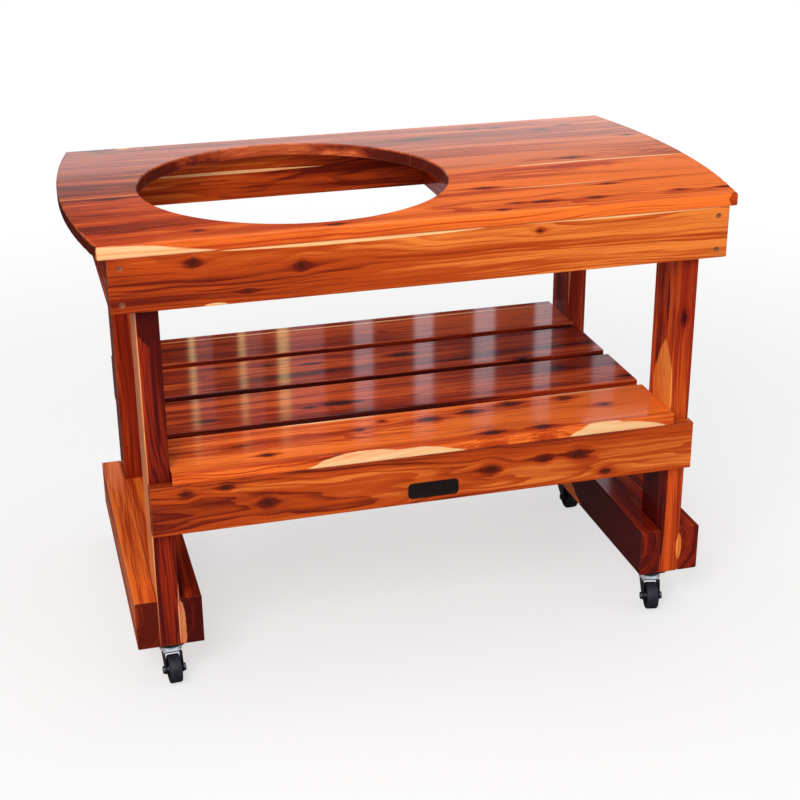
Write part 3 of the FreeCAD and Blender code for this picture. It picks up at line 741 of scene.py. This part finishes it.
# %% Legs
CREAMY = {**REDDISH, "Sap": (0.90, 0.40, 0.17)}
YELLOWISH = {**REDDISH, "Sap": (0.93, 0.30, 0.05)}
OUTSIDE = 481
INSIDE = 443
LEG_FRONT = -292
LEG_END = 0.4
# On the front left leg, the long pale patch down the outer face is a painted highlight of light from the
# left, and the dark stain at its top is the painted shadow under the apron.
cedar_board("leg_front_left", "z", CREAMY, seed=11, pith=(30, -40), shade=0.36, end=LEG_END,
            patches=[((-OUTSIDE, -256, 425), (3, 66, 620)), ((-INSIDE, LEG_FRONT, 120), (4, 8, 80))],
            stains_and_shade=[((-462, LEG_FRONT, 690), (34, 8, 70))])
# The dark stain low on the front right leg's inner face is painted shade under the shelf.
cedar_board("leg_front_right", "z", YELLOWISH, seed=12, pith=(-30, -50), shade=-0.1, end=LEG_END,
            knots=[(461, LEG_FRONT, 575, 5, 1.6), (INSIDE, -262, 600, 4, 4.0)],
            patches=[((INSIDE, -262, 425), (5, 46, 105)), ((OUTSIDE, LEG_FRONT, 124), (7, 6, 32))],
            stains_and_shade=[((INSIDE, -247, 220), (12, 70, 215))])
cedar_board("leg_rear_left", "z", REDDISH, seed=13, pith=(20, -60), shade=0.14, end=LEG_END)
cedar_board("leg_rear_right", "z", CREAMY, seed=14, pith=(-12, -45), shade=0.02, end=LEG_END,
            patches=[((INSIDE, 203, 560), (4, 4, 150))])

# %% Shelf aprons and bearers
cedar_board("shelf_apron_front", "x", APRON, seed=15.5, pith=(-8, -50), lean=(0.0, -0.025), ring=4.2,
            shade=0.14, slope=-0.0005, streaks=0.6,
            knots=[(-422, FRONT, 367, 5, 1.3), (-356, FRONT, 372, 5, 1.6), (-287, FRONT, 333, 7.5, 1.2),
                   (103, FRONT, 343, 8, 1.3), (200, FRONT, 349, 5.5, 1.5), (265, FRONT, 352, 8.5, 1.5),
                   (319, FRONT, 310, 6, 1.4)])
cedar_board("shelf_apron_rear", "x", APRON, seed=16, shade=0.2, coat=REAR_COAT)
for name, seed in (("left", 17.0), ("middle", 18.0), ("right", 19.0)):
    cedar_board("shelf_bearer_" + name, "y", REDDISH, seed=seed)

# %% [markdown]
# The front slat is the liveliest board of the table: orange, full of knots, with cream sapwood along
# its front edge. Knots could be strewn by chance, but a board is known by its knots, so each is
# listed one by one. The other three slats are darker, most of all on their sawn sides.

# %% Shelf slats
SLAT = {"Pale": (0.60, 0.085, 0.012), "Red": (0.28, 0.020, 0.004), "Dark": (0.050, 0.005, 0.004),
        "Sap": (0.88, 0.48, 0.2), "Knot Tone": (0.018, 0.004, 0.004)}
SHELF = 406
cedar_board("shelf_slat_1", "x", ORANGE, seed=20, pith=(4, -46), lean=(0.0, 0.02), shade=-0.24,
            slope=-0.0003, streaks=1.2,
            knots=[(-61, -202, SHELF, 5, 1.2), (-107, -227, SHELF, 4, 1.2), (23, -217, SHELF, 9, 1.3),
                   (99, -205, SHELF, 9, 1.4), (179, -192, SHELF, 11, 1.5), (282, -195, SHELF, 9, 1.4),
                   (341, -242, SHELF, 8, 1.3), (110, -302, SHELF, 10, 1.5), (200, -303, SHELF, 9, 1.6),
                   (-279, -284, SHELF, 7, 1.3)],
            patches=[((-120, FRONT, 384), (105, 5, 27)), ((-50, FRONT, 384), (118, 4, 19)),
                     ((310, FRONT, 384), (66, 5, 26)), ((350, FRONT, 384), (84, 4, 18)),
                     ((-150, -173, SHELF), (110, 6, 8)), ((320, -173, SHELF), (120, 6, 8))])
# On the other slats, side=0.5 darkens their sawn sides: painted shade in the gaps between slats.
cedar_board("shelf_slat_2", "x", SLAT, seed=21, pith=(-20, -60), shade=0.02, streaks=1.5, side=0.5,
            knots=[(-109, -101, SHELF, 7, 2.6), (-170, -106, SHELF, 4, 1.6), (-357, -113, SHELF, 5, 2.2),
                   (323, -52, SHELF, 6, 2.2), (432, -125, SHELF, 5, 2.0)])
cedar_board("shelf_slat_3", "x", SLAT, seed=22, pith=(24, -70), lean=(0.0, -0.02), shade=0.08,
            streaks=1.6, side=0.5,
            knots=[(-203, 115, SHELF, 6, 2.4), (-122, 100, SHELF, 5, 2.2), (56, 100, SHELF, 7, 2.6),
                   (277, 13, SHELF, 5, 2.2)])
cedar_board("shelf_slat_4", "x", SLAT, seed=23, pith=(-8, -55), shade=-0.08, streaks=1.3, side=0.5,
            patches=[((0, 291, SHELF), (520, 4, 6))])

# %% [markdown]
# At each side the legs stand between two rails, with a filler from leg to leg. The rails' sawn ends
# face the front, so the arcs of the rings show there with no extra work. The six boards differ in a
# few numbers only, so a small table and a loop say it more clearly than six long calls.

# %% Base
BASE_BOARDS = {
    "rail_outer_left": (ORANGE, dict(seed=24, shade=-0.08, end=0.7)),
    "filler_left": (ORANGE, dict(seed=28, shade=-0.08)),
    "rail_inner_left": (CREAMY, dict(seed=26, shade=0.2, end=0.4,
                                     patches=[((-442, LEG_FRONT, 102), (8, 8, 64))])),
    "rail_outer_right": (YELLOWISH, dict(seed=25, shade=0.1, end=0.2,
                                         patches=[((OUTSIDE, LEG_FRONT, 124), (5, 6, 30))])),
    # The right inner rail's inner face is painted shade, by a darker shade and a dark stain, and its pale
    # patch at the rear is a painted pool of light.
    "rail_inner_right": (YELLOWISH, dict(seed=27, shade=0.3, end=0.05,
                                         stains_and_shade=[((405, 0, 118), (3, 500, 80))],
                                         patches=[((405, 160, 80), (4, 165, 42))])),
    "filler_right": (REDDISH, dict(seed=29, shade=0.1)),
}
for name, (look, settings) in BASE_BOARDS.items():
    cedar_board("base_" + name, "y", look, pith=(20, -50), wear_and_highlight=0.12, **settings)

# %% [markdown]
# ## Modelling by hand, in code
# Small metal and rubber pieces are shaped in edit mode, as with the mouse: add a primitive, pick
# some faces or edges, inset, extrude or bevel them. Here the picking is done by a test on each
# part's place. A finished piece has its normals turned outwards and its place in its mesh.

# %% Helpers for modelling
import bmesh

PICK_MODES = {"verts": (True, False, False), "edges": (False, True, False), "faces": (False, False, True)}
# How near counts as there, in millimetres.
NEAR = 0.1


def middle_of(part):
    """A face's, edge's or corner's middle, in millimetres."""
    if isinstance(part, bmesh.types.BMVert):
        return part.co / MM
    return sum((corner.co for corner in part.verts), Vector()) / len(part.verts) / MM


def side_of(part):
    return abs(middle_of(part).x)


def pick(piece, kind, test):
    """Select only the faces, edges or corners that pass a test."""
    bpy.context.tool_settings.mesh_select_mode = PICK_MODES[kind]
    bpy.ops.mesh.select_all(action="DESELECT")
    mesh = bmesh.from_edit_mesh(piece.data)
    for part in getattr(mesh, kind):
        if test(part):
            part.select_set(True)
    mesh.select_flush_mode()
    bmesh.update_edit_mesh(piece.data)


def inset(millimetres):
    bpy.ops.mesh.inset(thickness=millimetres * MM)


def extrude(x=0, y=0, z=0):
    """Pull the picked faces or edges out by so many millimetres."""
    bpy.ops.mesh.extrude_region_move(TRANSFORM_OT_translate={"value": (x * MM, y * MM, z * MM)})


def push(x=0, y=0, z=0):
    bpy.ops.transform.translate(value=(x * MM, y * MM, z * MM))


def soften(millimetres, segments=2, only="EDGES"):
    bpy.ops.mesh.bevel(offset=millimetres * MM, segments=segments, affect=only)


def complete(piece, name, bevel=0.0, angle=35, segments=2):
    """Close a piece's seams, turn its faces outwards and round its sharp edges."""
    bpy.context.tool_settings.mesh_select_mode = PICK_MODES["verts"]
    bpy.ops.mesh.select_all(action="SELECT")
    bpy.ops.mesh.remove_doubles(threshold=0.00001)
    bpy.ops.mesh.normals_make_consistent(inside=False)
    # A ring may come out inside out, and then its volume is less than nothing.
    if bmesh.from_edit_mesh(piece.data).calc_volume(signed=True) < 0:
        bpy.ops.mesh.flip_normals()
    close(piece, name)
    if bevel:
        rounding = piece.modifiers.new("rounding", "BEVEL")
        rounding.width = bevel * MM
        rounding.segments = segments
        rounding.limit_method = "ANGLE"
        rounding.angle_limit = math.radians(angle)
        bpy.ops.object.modifier_apply(modifier=rounding.name)
    bpy.ops.object.shade_smooth_by_angle(angle=math.radians(angle))
    print(name, "has", len(piece.data.polygons), "faces")
    return piece


def join(pieces, name):
    bpy.ops.object.select_all(action="DESELECT")
    for piece in pieces:
        piece.select_set(True)
    bpy.context.view_layer.objects.active = pieces[0]
    bpy.ops.object.join()
    pieces[0].name = name
    return pieces[0]


def copy_to(piece, name, matrix):
    """A copy with its own mesh, moved there in its mesh."""
    copy = piece.copy()
    copy.data = piece.data.copy()
    copy.data.transform(matrix)
    copy.name = name
    copy.data.name = name
    scene.collection.objects.link(copy)
    return copy


def stands_for(piece, node, body, material=None):
    """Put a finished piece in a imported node's place, on the body that it moves with."""
    if material:
        piece.data.materials.append(material)
    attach(piece, body)
    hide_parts(node)


# %% [markdown]
# ## Casters
# Each caster is a plate, a swivelling fork folded from sheet steel, and a black wheel with a solid
# tyre. The forks stand turned a little, each its own way, as casters stop after a push. One caster
# is modelled round its swivel axis, and its pieces are copied to the four corners.
#
# The tyre is a solid rubber ring. A torus would be too round for its flat tread, so a disc has both
# faces inset, the insets are bridged to open the hole, and the outer edges are bevelled.

# %% Tyre
TYRE_RADIUS = 24.95
TYRE_WIDE = 22
TYRE_THICK = 4.5
TYRE_ROUND = 3.4
TRAIL = 23
AXLE_PLACE = Vector((0, -TRAIL * MM, TYRE_RADIUS * MM))


def begin_across(radius, wide, x=0, sides=72):
    """Begin a disc across the axle, so many millimetres to its side."""
    return begin("cylinder", vertices=sides, radius=radius * MM, depth=wide * MM,
                 location=AXLE_PLACE + Vector((x * MM, 0, 0)), rotation=(0, math.pi / 2, 0))


tyre = begin_across(TYRE_RADIUS, TYRE_WIDE)
pick(tyre, "faces", lambda face: side_of(face) > TYRE_WIDE / 2 - NEAR)
inset(TYRE_THICK)
bpy.ops.mesh.bridge_edge_loops()
pick(tyre, "edges", lambda edge: min(abs(v.co.x) for v in edge.verts) > (TYRE_WIDE / 2 - NEAR) * MM
     and all((v.co - AXLE_PLACE).yz.length > (TYRE_RADIUS - 1) * MM for v in edge.verts))
soften(TYRE_ROUND, 5)
complete(tyre, "tyre", bevel=0.35, angle=50)

# %% [markdown]
# The wheel centre is moulded: a rim, a web sunk between its faces, and a hub that stands proud with
# a hole for the axle. A turned outline would give the same steps, but insets keep the size of each
# step in plain sight.

# %% Wheel centre
RIM_WIDE = 20
RIM_LIP = 2.5
WEB_WIDE = 12
HUB_RADIUS = 7.7
HUB_WIDE = 27
HUB_WALL = 3.42
RIM_RADIUS = TYRE_RADIUS - TYRE_THICK

wheel = begin_across(RIM_RADIUS, RIM_WIDE)
for side in (-1, 1):
    pick(wheel, "faces", lambda face: middle_of(face).x * side > 0 and abs(face.normal.x) > 0.9
         and len(face.verts) > 8)
    inset(RIM_LIP)
    extrude(x=side * (WEB_WIDE - RIM_WIDE) / 2)
    inset(RIM_RADIUS - RIM_LIP - HUB_RADIUS)
    extrude(x=side * (HUB_WIDE - WEB_WIDE) / 2)
    inset(HUB_WALL)
pick(wheel, "faces", lambda face: side_of(face) > HUB_WIDE / 2 - NEAR and len(face.verts) > 8)
bpy.ops.mesh.bridge_edge_loops()
complete(wheel, "wheel", bevel=0.6)

# %% [markdown]
# The fork is pressed from sheet steel: a flat roof, folded down into two cheeks that lean forwards
# to the axle. It could be cut from a block, but then each wall would need its own care. A plane that
# is folded first and given its thickness last has the same thickness all over, as sheet has.

# %% Fork
CHEEK_OUTER = 16
SHEET_THICK = 2
ROOF = 58
ROOF_LONG = 36
ROOF_BACK = 4
ROOF_ENDS = (-ROOF_BACK - ROOF_LONG / 2, -ROOF_BACK + ROOF_LONG / 2)
# The cheek's outline, seen from the side: how far below the roof, and its front and rear edge.
CHEEK_ROWS = ((9, -24.4, 14), (33, -31, -13), (41, -31, -15.6))
CHEEK_ROUND = 7.4
FOLD_ROUND = 2.6

sheet = begin("plane", size=1)
bpy.ops.transform.resize(value=(CHEEK_OUTER * 2 * MM, ROOF_LONG * MM, 1))
push(y=-ROOF_BACK, z=ROOF)
for side in (-1, 1):
    hem = ROOF
    for below, front, rear in CHEEK_ROWS:
        pick(sheet, "edges", lambda edge: abs(middle_of(edge).z - hem) < NEAR
             and all(abs(v.co.x / MM - side * CHEEK_OUTER) < NEAR for v in edge.verts))
        extrude(z=ROOF - below - hem)
        hem = ROOF - below
# Each row of corners is slid to the cheek's outline.
for below, front, rear in CHEEK_ROWS:
    for start, goal in zip(ROOF_ENDS, (front, rear)):
        pick(sheet, "verts", lambda v: abs(v.co.z / MM - ROOF + below) < NEAR
             and abs(v.co.y / MM - start) < NEAR)
        push(y=goal - start)
pick(sheet, "verts", lambda v: v.co.z / MM < hem + 1)
soften(CHEEK_ROUND, 6, "VERTICES")
pick(sheet, "edges", lambda edge: all(abs(v.co.z / MM - ROOF) < NEAR for v in edge.verts)
     and side_of(edge) > CHEEK_OUTER - NEAR)
soften(FOLD_ROUND, 4)
bpy.ops.mesh.select_all(action="SELECT")
bpy.ops.mesh.normals_make_consistent(inside=False)
bpy.ops.object.mode_set(mode="OBJECT")
wall = sheet.modifiers.new("sheet", "SOLIDIFY")
wall.thickness = SHEET_THICK * MM
wall.offset = -1
bpy.ops.object.modifier_apply(modifier=wall.name)
bpy.ops.object.mode_set(mode="EDIT")
complete(sheet, "fork_sheet", bevel=0.45, angle=40)

# %% [markdown]
# The crown is the round seat of the swivel's balls, on top of the fork. A lathe's outline would
# show its groove and its dished top as well. Here two insets do: one round the waist, drawn in,
# and one on top, pushed down.

# %% Crown
CROWN_RADIUS = 20
CROWN_LOW = 55
CROWN_HIGH = 63.2
CROWN_LIP = 2.6
CROWN_GROOVE = 0.7
CROWN_RIM = 3
CROWN_DISH = 0.9

crown = begin("cylinder", vertices=72, radius=CROWN_RADIUS * MM, depth=(CROWN_HIGH - CROWN_LOW) * MM,
              location=(0, 0, (CROWN_HIGH + CROWN_LOW) / 2 * MM))
pick(crown, "faces", lambda face: abs(face.normal.z) < 0.1)
inset(CROWN_LIP)
bpy.ops.transform.shrink_fatten(value=-CROWN_GROOVE * MM)
pick(crown, "faces", lambda face: face.normal.z > 0.9 and len(face.verts) > 8)
inset(CROWN_RIM)
push(z=-CROWN_DISH)
complete(crown, "crown", bevel=0.7, segments=3)
fork = join([sheet, crown], "fork")

# %% [markdown]
# The wheel turns on a hexagon bolt with a nut, each on a washer. A cylinder with six sides is
# already a hexagon, so the head and the nut need only an inset on their outer faces: the head's is
# raised to a dome, and the nut's is sunk round the bolt's end.

# %% Axle bolt
SHANK_RADIUS = 4
SHANK_SPARE = 8
WASHER_RADIUS = 7.2
WASHER_THICK = 0.8
NUT_RADIUS = 6.9
NUT_THICK = 3.2
NUT_OUT = 2.3

shank = begin_across(SHANK_RADIUS, CHEEK_OUTER * 2 + SHANK_SPARE, sides=40)
pick(shank, "faces", lambda face: abs(face.normal.x) > 0.9)
inset(0.7)
parts = [complete(shank, "shank", bevel=0.3)]
for side in (-1, 1):
    washer = begin_across(WASHER_RADIUS, WASHER_THICK, side * (CHEEK_OUTER + WASHER_THICK / 2), 48)
    pick(washer, "faces", lambda face: face.normal.x * side > 0.9)
    inset(0.5)
    parts.append(complete(washer, "washer", bevel=0.2))
    nut = begin_across(NUT_RADIUS, NUT_THICK, side * (CHEEK_OUTER + NUT_OUT), 6)
    pick(nut, "faces", lambda face: face.normal.x * side > 0.9)
    inset(0.9)
    push(x=side * 0.2)
    inset(1.0 if side < 0 else 1.8)
    push(x=side * 0.2 if side < 0 else -side * 0.6)
    parts.append(complete(nut, "nut", bevel=0.35))
axle = join(parts, "axle")

# %% [markdown]
# The fork, the axle, the plates and the king pins are a dull dark steel, which paints the shade
# under the base, and only the crown and the plate's screws are bright zinc: a pale, slightly blue
# coat, cloudy where the crystals differ. One recipe makes both, with other numbers. The wheel is
# black plastic, and the tyre black rubber with a blue cast, which paints a bluish sheen, and dusty
# scuffs.

# %% Metal and rubber
SURFACE_DEPTH = 0.0002
METAL = dict(cloud=90, grit=900, edges=(0.35, 0.75), cloud_roughness=0.6, bump=0.15)
BLACK = dict(cloud=160, grit=1400, edges=(0.45, 0.8), cloud_roughness=0.65, bump=0.2)


def patchy(name, tone, other, roughness, cloud, grit, edges, cloud_roughness, bump, more):
    """A material that clouds of another tone run over, with fine grit under the finger."""
    material, tree, surface, place = new_material(name)
    clouds = noise(place, (cloud,) * 3, detail=4.0, roughness=cloud_roughness)
    rough = {"Strength": bump, "Distance": SURFACE_DEPTH, "Height": noise(place, (grit,) * 3)}
    feed_all(surface, {"Base Color": blend(smooth_step(clouds, *edges), (*tone, 1), (*other, 1)),
                       "Roughness": calc("MULTIPLY_ADD", clouds, 0.3, roughness),
                       "Normal": add_node("Bump", rough).outputs[0], **more})
    return material


def make_metal(name, tone, stain, roughness, metal):
    return patchy(name, tone, stain, roughness, **METAL, more={"Metallic": metal})


def make_black(name, tone, dust, roughness, **changes):
    return patchy(name, tone, dust, roughness, **{**BLACK, **changes}, more={"Specular IOR Level": 0.4})


zinc = make_metal("zinc", (0.80, 0.84, 0.92), (0.48, 0.51, 0.60), 0.2, 0.35)
# This dark steel paints the shade under the base, on the forks, axles, plates and king pins.
shaded_steel = make_metal("shaded_steel", (0.16, 0.17, 0.21), (0.05, 0.05, 0.07), 0.24, 1.0)
# The rubber's blue cast paints a bluish sheen.
rubber = make_black("tyre_rubber", (0.010, 0.011, 0.020), (0.03, 0.03, 0.045), 0.42)
moulding = make_black("wheel_black", (0.008, 0.008, 0.012), (0.02, 0.02, 0.026), 0.3)
dress("caster_screws", zinc)
for name in ("caster_plates", "king_pins"):
    dress(name, shaded_steel)

# %% Copy the casters to the corners
CASTERS = {
    "front_left": (-461, -265, 3),
    "front_right": (438, -265, -13),
    "rear_left": (-461, 168, -5),
    "rear_right": (438, 168, 2),
}
for metal in (shaded_steel, zinc):
    fork.data.materials.append(metal)
for face in fork.data.polygons:
    on_crown = face.center.to_2d().length < (CROWN_RADIUS + 0.2) * MM
    face.material_index = int(on_crown and face.center.z > (CROWN_LOW - 0.2) * MM)
CASTER_PIECES = ((tyre, "wheel", "tyre_black", rubber), (wheel, "wheel", "wheel_black", moulding),
                 (fork, "fork", "zinc", None), (axle, "fork", "zinc", shaded_steel))
for corner, (x, y, turn) in CASTERS.items():
    there = Matrix.Translation((x * MM, y * MM, 0)) @ Matrix.Rotation(math.radians(turn), 4, "Z")
    for source, body, slot, material in CASTER_PIECES:
        piece = copy_to(source, f"{source.name}_{corner}", there)
        stands_for(piece, f"caster_{source.name}_{corner}", f"{body}_{corner}", material)
for source in (tyre, wheel, fork, axle):
    bpy.data.objects.remove(source)
print("casters:", len(CASTERS))

# %% [markdown]
# ## Screws and plate
# The aprons are screwed to the end aprons with countersunk wood screws, whose heads lie flush. The
# recess for the driver could be cut out with a second shape, but insetting the face and sinking
# what is left keeps the mesh clean. One screw is modelled, and each copy is turned a little further,
# because no two screws stop at the same angle.

# %% Apron screws
SCREW_HEAD = 4.5
SCREW_THICK = 1.2
SCREW_TAPER = 0.75
SCREW_X = 500
SCREW_HEIGHTS = (702, 761)
SCREW_TURN = 0.6
APRON_FACE = 314

screw = begin("cylinder", vertices=48, radius=SCREW_HEAD * MM, depth=SCREW_THICK * MM,
              location=(0, SCREW_THICK / 2 * MM, 0), rotation=(math.pi / 2, 0, 0))
pick(screw, "faces", lambda face: face.normal.y > 0.9)
bpy.ops.transform.resize(value=(SCREW_TAPER, 1, SCREW_TAPER))
pick(screw, "faces", lambda face: face.normal.y < -0.9)
for rim, sink in ((0.5, 0.12), (1.7, 0.25)):
    inset(rim)
    push(y=sink)
extrude(y=0.6)
complete(screw, "screw", bevel=0.12)

screw_steel = make_metal("screw_steel", (0.44, 0.16, 0.085), (0.24, 0.06, 0.03), 0.35, 0.5)
screws = []
for face in (-1, 1):
    for side in (-1, 1):
        for height in SCREW_HEIGHTS:
            there = Matrix.Translation((SCREW_X * side * MM, APRON_FACE * face * MM, height * MM))
            facing = Matrix.Rotation(math.pi if face > 0 else 0, 4, "Z")
            turned = Matrix.Rotation(SCREW_TURN * len(screws), 4, "Y")
            screws.append(copy_to(screw, f"apron_screw_{len(screws) + 1}", there @ facing @ turned))
for piece in screws:
    stands_for(piece, "apron_screws", "table", screw_steel)
bpy.data.objects.remove(screw)
print("screws:", len(screws))

# %% [markdown]
# The plate in the middle of the shelf's front apron is blank: thin, black, with round corners and a
# sunk field inside a narrow rim. A rounded outline could be drawn and given a thickness, but a cube
# with four bevelled edges gets there in one step.

# %% Blank plate
PLATE_CORNER = 8
PLATE_SINK = 0.3

low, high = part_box("badge_plate")
badge = begin("cube", size=1, location=(low + high) / 2)
bpy.ops.transform.resize(value=high - low)
pick(badge, "edges", lambda edge: abs((edge.verts[0].co - edge.verts[1].co).normalized().y) > 0.9)
soften(PLATE_CORNER, 7)
pick(badge, "faces", lambda face: face.normal.y < -0.9)
inset(0.5)
inset(0.9)
push(y=PLATE_SINK)
complete(badge, "blank_plate", bevel=0.2)
enamel = make_black("badge_black", (0.012, 0.006, 0.005), (0.018, 0.011, 0.010), 0.16, bump=0.03)
stands_for(badge, "badge_plate", "table", enamel)
print("plate:", [round(side / MM, 1) for side in high - low], "mm")
